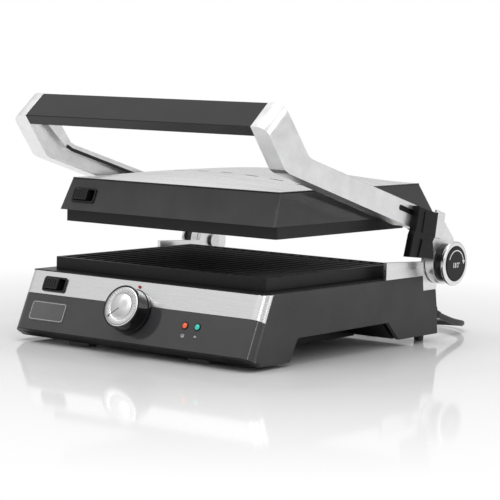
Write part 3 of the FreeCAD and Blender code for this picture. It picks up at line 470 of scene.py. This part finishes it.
LOOKS = {
    "side_plastic": plastic("side_plastic", (0.046, 0.046, 0.047), 0.5, specular=0.2),
    "brushed_band": brushed("brushed_band", (0.8, 0.8, 0.805), 0.26, "X"),
    "gloss_fascia": plastic("gloss_fascia", (0.04, 0.04, 0.042), 0.1, grain=300.0,
                            depth=0.000004, coat=0.5),
    "lip_plastic": plastic("lip_plastic", (0.008, 0.008, 0.0085), 0.38, specular=0.25),
    "deck_plastic": plastic("deck_plastic", (0.008, 0.008, 0.0085), 0.3),
    "foot_rubber": rubber("foot_rubber", (0.03, 0.03, 0.03)),
    "badge": plastic("badge", (0.10, 0.10, 0.102), 0.3),
    "index_red": print_ink("index_red", (0.42, 0.01, 0.01)),
    "nonstick": coated_casting("nonstick", (0.007, 0.007, 0.0075)),
    "heater_tube": metal("heater_tube", (0.25, 0.24, 0.23), 0.45),
    "reflector": metal("reflector", (0.7, 0.7, 0.7), 0.3),
    "switch_body": plastic("switch_body", (0.55, 0.52, 0.45), 0.5),
    "board": plastic("board", (0.03, 0.14, 0.05), 0.4),
    "lamp_red": lamp_lens("lamp_red", (0.75, 0.13, 0.05), 0.35),
    "lamp_green": lamp_lens("lamp_green", (0.03, 0.5, 0.4), 0.4),
    "latch_plastic": plastic("latch_plastic", (0.008, 0.008, 0.0085), 0.33),
    "knob_gloss": plastic("knob_gloss", (0.005, 0.005, 0.0055), 0.08, grain=300.0,
                          depth=0.000004, coat=0.3),
    "spun_disc": spun_metal("spun_disc", (0.78, 0.78, 0.785)),
    "shaft_steel": metal("shaft_steel", (0.62, 0.62, 0.62), 0.25),
    "bracket_steel": brushed("bracket_steel", (0.78, 0.78, 0.785), 0.3, "Y", lines=1800.0),
    "drum_plastic": plastic("drum_plastic", (0.02, 0.02, 0.021), 0.25),
    "ring_chrome": metal("ring_chrome", (0.74, 0.74, 0.75), 0.12),
    "button_face": plastic("button_face", (0.008, 0.008, 0.0085), 0.42, specular=0.2),
    "arm_metal": metal("arm_metal", (0.8, 0.8, 0.805), 0.34, edge=0.0008, depth=0.000004),
    "grip_satin": plastic("grip_satin", (0.014, 0.014, 0.0145), 0.3, grain=1100.0, depth=0.00012),
    "lock_plastic": plastic("lock_plastic", (0.004, 0.004, 0.0042), 0.4, specular=0.15),
    "shell_gloss": plastic("shell_gloss", (0.04, 0.04, 0.042), 0.2, depth=0.00002, coat=0.15),
    "cover_steel": brushed("cover_steel", (0.86, 0.86, 0.865), 0.28, "X", lines=1900.0),
    "cord_rubber": rubber("cord_rubber", (0.012, 0.012, 0.012)),
    "tie_plastic": plastic("tie_plastic", (0.02, 0.02, 0.02), 0.4),
    "pin_brass": metal("pin_brass", (0.72, 0.66, 0.48), 0.22),
}


def dress_nodes():
    slots = {entry["node"]: entry["material_slot"] for entry in frame["record"]["subparts"]}
    for name, node in frame["nodes"].items():
        node.data.materials.clear()
        # Painted shade: the height lock pin gets black plastic so that the slot it shows through reads
        # dark.
        look = "lock_plastic" if name == "height_lock_pin" else slots[name]
        node.data.materials.append(LOOKS[look])


dress_nodes()
make_cord(LOOKS["cord_rubber"])


# ---------------------------------------------------------------- small details

MM = 0.001
FACE_TOP_Y = -154.0            # upper edge of the leaning front, in millimetres
FACE_TOP_Z = 76.0
LEAN_RUN = 0.4375              # horizontal run of the leaning front per unit of height
FACE_NORMAL = Vector((0, -1, LEAN_RUN)).normalized()
INK_DARK = print_ink("ink_dark", (0.012, 0.012, 0.012))
INK_LIGHT = print_ink("ink_light", (0.72, 0.72, 0.72))
PRINT_THICKNESS = 0.00005
KNOB_CENTRE = (-2.0, 44.5)     # (x, z) on the leaning front
KNOB_FACE_HEIGHT = 20.4
LAMP_POWER_X = 73.2
LAMP_READY_X = 89.8
LAMP_Z = 38.2
SIGN_Z = 28.4
BADGE_CENTRE = (-121.0, 34.4)


def on_face(x, z, lift=0.0):
    y = FACE_TOP_Y - (FACE_TOP_Z - z) * LEAN_RUN
    return Vector((x, y, z)) * MM + CENTRE_SHIFT + FACE_NORMAL * lift


def scaled(outlines):
    return [[(x * MM, y * MM) for x, y in outline] for outline in outlines]


def finish_piece(piece, body, material):
    piece.data.materials.append(material)
    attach(piece, body)
    return piece


def ring_outlines(inner, outer, parts=4):
    step = 360.0 / parts
    return [arc_band(inner, outer, k * step, (k + 1) * step, 16) for k in range(parts)]


def knob_face():
    # Shallow groove at 13.5 to 14.1 mm, and a bevelled rim.
    top = KNOB_FACE_HEIGHT
    profile = [(0, top), (13.2, top), (13.5, 20.15), (14.1, 20.15), (14.4, top), (21.0, top),
               (22.0, 19.7), (22.0, 18.85), (0, 18.85)]
    face = lathe("knob_face", [(r * MM, h * MM) for r, h in profile])
    place(face, on_face(*KNOB_CENTRE), FACE_NORMAL)
    finish_piece(face, "knob", LOOKS["spun_disc"])
    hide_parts("knob_disc")
    marks = ring_outlines(20.2, 20.6) + ring_outlines(14.6, 14.8)
    for k in range(28):
        angle = 225.0 - 270.0 * k / 27.0
        long_mark = k % 3 == 0
        middle = 18.0 if long_mark else 18.7
        x = middle * math.cos(math.radians(angle))
        y = middle * math.sin(math.radians(angle))
        marks.append(bar(x, y, 3.0 if long_mark else 1.5, 0.35, angle))
    marks.append(bar(-7.4, -6.2, 13.4, 0.8, 40.0))
    marks.append([(-15.0, -13.4), (-11.4, -11.4), (-12.9, -9.6)])
    scale = flat_shape("knob_scale", scaled(marks), PRINT_THICKNESS)
    place(scale, on_face(*KNOB_CENTRE, (KNOB_FACE_HEIGHT + 0.01) * MM), FACE_NORMAL)
    finish_piece(scale, "knob", INK_DARK)


def lamp_trim():
    for name, x in (("power", LAMP_POWER_X), ("ready", LAMP_READY_X)):
        bezel = lathe("bezel_" + name, [(r * MM, h * MM) for r, h in (
            (3.0, 0.0), (3.0, 0.7), (3.4, 0.95), (4.1, 0.6), (4.2, 0.0), (3.0, 0.0))])
        place(bezel, on_face(x, LAMP_Z), FACE_NORMAL)
        finish_piece(bezel, "base", LOOKS["lip_plastic"])
    signs = [
        bar(LAMP_POWER_X, 0, 0.5, 2.4),
        bar(LAMP_READY_X, 0, 3.4, 0.5),
        bar(LAMP_READY_X, 1.0, 2.2, 0.5),
    ]
    signs += moved([arc_band(1.6, 2.1, 120, 420)], LAMP_POWER_X, 0)
    sign = flat_shape("lamp_signs", scaled(signs), PRINT_THICKNESS)
    place(sign, on_face(0.0, SIGN_Z, 0.02 * MM), FACE_NORMAL)
    finish_piece(sign, "base", INK_LIGHT)


def badge_line():
    half_x = 24.2
    half_y = 9.8
    corner = 3.0
    line = 0.35
    outlines = [
        bar(0, half_y, 2 * (half_x - corner), line),
        bar(0, -half_y, 2 * (half_x - corner), line),
        bar(half_x, 0, line, 2 * (half_y - corner)),
        bar(-half_x, 0, line, 2 * (half_y - corner)),
    ]
    for sx, sy, start in ((1, 1, 0), (-1, 1, 90), (-1, -1, 180), (1, -1, 270)):
        arc = arc_band(corner - line / 2, corner + line / 2, start, start + 90, 8)
        outlines += moved([arc], sx * (half_x - corner), sy * (half_y - corner))
    outline = flat_shape("badge_line", scaled(outlines), PRINT_THICKNESS)
    place(outline, on_face(*BADGE_CENTRE, 0.36 * MM), FACE_NORMAL)
    finish_piece(outline, "base", INK_LIGHT)


def button_print():
    # Turning mark on the flat-open button: an arc with an arrow head and the angle below it.
    marks = [arc_band(14.2, 15.4, 12, 160)]
    marks.append([(12.2, 3.4), (17.6, 3.0), (15.0, -1.4)])
    marks.append(bar(-5.2, -1.6, 1.2, 5.8))
    for x, y, r in ((-1.6, -0.1, 1.35), (-1.6, -3.0, 1.5)):
        marks += moved(ring_outlines(r - 0.85, r), x, y)
    marks += [[(px * 0.62 + 2.9, py - 1.6) for px, py in part] for part in ring_outlines(1.9, 2.9)]
    marks += moved(ring_outlines(0.5, 0.9), 6.2, 0.6)
    sign = flat_shape("button_print", scaled(marks), PRINT_THICKNESS)
    place(sign, Vector((191.41, 160.0, 90.0)) * MM + CENTRE_SHIFT, (1, 0, 0))
    finish_piece(sign, "flat_release", INK_LIGHT)


def rod_between(name, start, end, radius):
    # Round rod with chamfered ends.
    start = Vector(start) * MM + CENTRE_SHIFT
    end = Vector(end) * MM + CENTRE_SHIFT
    run = (end - start).length
    radius *= MM
    flat = radius * 0.7
    chamfer = radius * 0.3
    profile = [(0, 0), (flat, 0), (radius, chamfer), (radius, run - chamfer), (flat, run), (0, run)]
    rod = lathe(name, profile, 16)
    up = Z_AXIS if abs((end - start).normalized().z) < 0.9 else Vector((0, 1, 0))
    return place(rod, start, end - start, up)


def shell_bead():
    # Dark sealing bead between the painted shell and the steel cover.
    x = 144.4
    front = -108.6
    rear = 149.8
    z = 177.0
    corners = [(-x, front, z), (x, front, z), (x, rear, z), (-x, rear, z)]
    for k, name in enumerate(("front", "right", "rear", "left")):
        bead = rod_between("bead_" + name, corners[k], corners[(k + 1) % 4], 1.1)
        finish_piece(bead, "lid", LOOKS["lip_plastic"])


def vent_shade_sheets():
    # Painted shade: dark sheets sunk just under the slots of the steel cover, following its dome, stand
    # in for the shade inside the slots.
    half_x = 143.6
    half_y = 129.0
    middle_y = 20.8
    rim_z = 178.1
    rise = 12.0
    sunk = 0.42                # below the cover's outer skin
    y = -38.0
    pitch = 34.5
    t = (y - middle_y) / half_y
    for k in range(8):
        x = (k - 3.5) * pitch
        bow = 1.0 - (x / half_x) ** 2
        z = rim_z + rise * (1.0 - t ** 4) * bow
        slope_x = -rise * (1.0 - t ** 4) * 2.0 * x / half_x ** 2
        slope_y = -rise * 4.0 * t ** 3 / half_y * bow
        mesh = flat_shape("vent_shade_sheet_%d" % k, scaled([stadium(14.8, 1.95, 8)]), 0.3 * MM)
        centre = Vector((x, y, z - sunk)) * MM + CENTRE_SHIFT
        place(mesh, centre, (-slope_x, -slope_y, 1), Vector((0, 1, 0)))
        finish_piece(mesh, "lid", LOOKS["lock_plastic"])


def slot_shade_sheet():
    # Painted shade: a black sheet in the height lock's slot stands in for the shade inside it.
    rear = Vector((0, 103.0, 146.6))
    run = Vector((0, -35.0, 10.0))
    outline = stadium(run.length, 2.9, 10)
    for side, name in ((1, "right"), (-1, "left")):
        shade_sheet = flat_shape("slot_shade_sheet_" + name, scaled([outline]), 0.3 * MM)
        middle = (rear + run / 2 + Vector((side * 175.2, 0, 0))) * MM + CENTRE_SHIFT
        place(shade_sheet, middle, (side, 0, 0), Vector((0, 10.0, 35.0)))
        finish_piece(shade_sheet, "handle", LOOKS["lock_plastic"])


knob_face()
lamp_trim()
vent_shade_sheets()
slot_shade_sheet()
badge_line()
button_print()
shell_bead()


# ---------------------------------------------------------------- stage and light

def make_floor():
    half_size = 4.0
    bm = bmesh.new()
    bmesh.ops.create_grid(bm, x_segments=8, y_segments=8, size=half_size)
    floor = mesh_piece("floor", bm)
    floor.location.z = -0.0005
    material, nodes, links, shader = new_material("studio_floor")
    shader.inputs["Base Color"].default_value = (0.8, 0.8, 0.8, 1)
    shader.inputs["Roughness"].default_value = 0.07
    shader.inputs["Specular IOR Level"].default_value = 0.6
    # Like a paper sweep: the floor fades into the white backdrop away from the appliance
    where = position(nodes, links)
    away = nodes.new("ShaderNodeVectorMath")
    away.operation = "LENGTH"
    links.new(where, away.inputs[0])
    fade = spread(nodes, links, away.outputs["Value"], 0.0, 1.0, 0.32, 0.75)
    backdrop = nodes.new("ShaderNodeEmission")
    backdrop.inputs["Color"].default_value = (1, 1, 1, 1)
    mix = nodes.new("ShaderNodeMixShader")
    links.new(fade, mix.inputs["Fac"])
    links.new(shader.outputs["BSDF"], mix.inputs[1])
    links.new(backdrop.outputs["Emission"], mix.inputs[2])
    links.new(mix.outputs["Shader"], nodes["Material Output"].inputs["Surface"])
    floor.data.materials.append(material)


def area_light(name, place_at, aim, width, height, power):
    data = bpy.data.lights.new(name, "AREA")
    data.shape = "RECTANGLE"
    data.size = width
    data.size_y = height
    data.energy = power
    light = bpy.data.objects.new(name, data)
    light.location = place_at
    direction = Vector(aim) - Vector(place_at)
    light.rotation_mode = "QUATERNION"
    light.rotation_quaternion = direction.to_track_quat("-Z", "Y")
    bpy.context.scene.collection.objects.link(light)


def make_light():
    world = bpy.data.worlds.new("studio")
    world.use_nodes = True
    nodes = world.node_tree.nodes
    links = world.node_tree.links
    background = nodes["Background"]
    # Brighter overhead than low down; seen directly, the backdrop is plain white.
    where = nodes.new("ShaderNodeTexCoord")
    parts = nodes.new("ShaderNodeSeparateXYZ")
    links.new(where.outputs["Generated"], parts.inputs["Vector"])
    rise = nodes.new("ShaderNodeMapRange")
    rise.inputs["From Min"].default_value = -0.1
    rise.inputs["From Max"].default_value = 0.75
    rise.inputs["To Min"].default_value = 0.42
    rise.inputs["To Max"].default_value = 0.95
    links.new(parts.outputs["Z"], rise.inputs["Value"])
    background.inputs["Color"].default_value = (1, 1, 1, 1)
    links.new(rise.outputs["Result"], background.inputs["Strength"])
    seen = nodes.new("ShaderNodeBackground")
    seen.inputs["Color"].default_value = (1, 1, 1, 1)
    seen.inputs["Strength"].default_value = 1.0
    path = nodes.new("ShaderNodeLightPath")
    mix = nodes.new("ShaderNodeMixShader")
    links.new(path.outputs["Is Camera Ray"], mix.inputs["Fac"])
    links.new(background.outputs["Background"], mix.inputs[1])
    links.new(seen.outputs["Background"], mix.inputs[2])
    links.new(mix.outputs["Shader"], nodes["World Output"].inputs["Surface"])
    bpy.context.scene.world = world
    area_light("key", (-0.5, -1.3, 2.4), (0, 0, 0.1), 1.2, 1.0, 16.0)
    area_light("side", (2.2, 0.9, 1.0), (0, 0, 0.1), 0.6, 1.6, 8.0)
    area_light("top", (0.1, 0.3, 2.2), (0, 0, 0.1), 1.6, 1.0, 16.0)
    area_light("strip", (1.4, -1.1, 1.3), (0.16, -0.16, 0.05), 0.14, 1.2, 3.4)


make_floor()
make_light()
bpy.context.scene.view_settings.view_transform = "Standard"
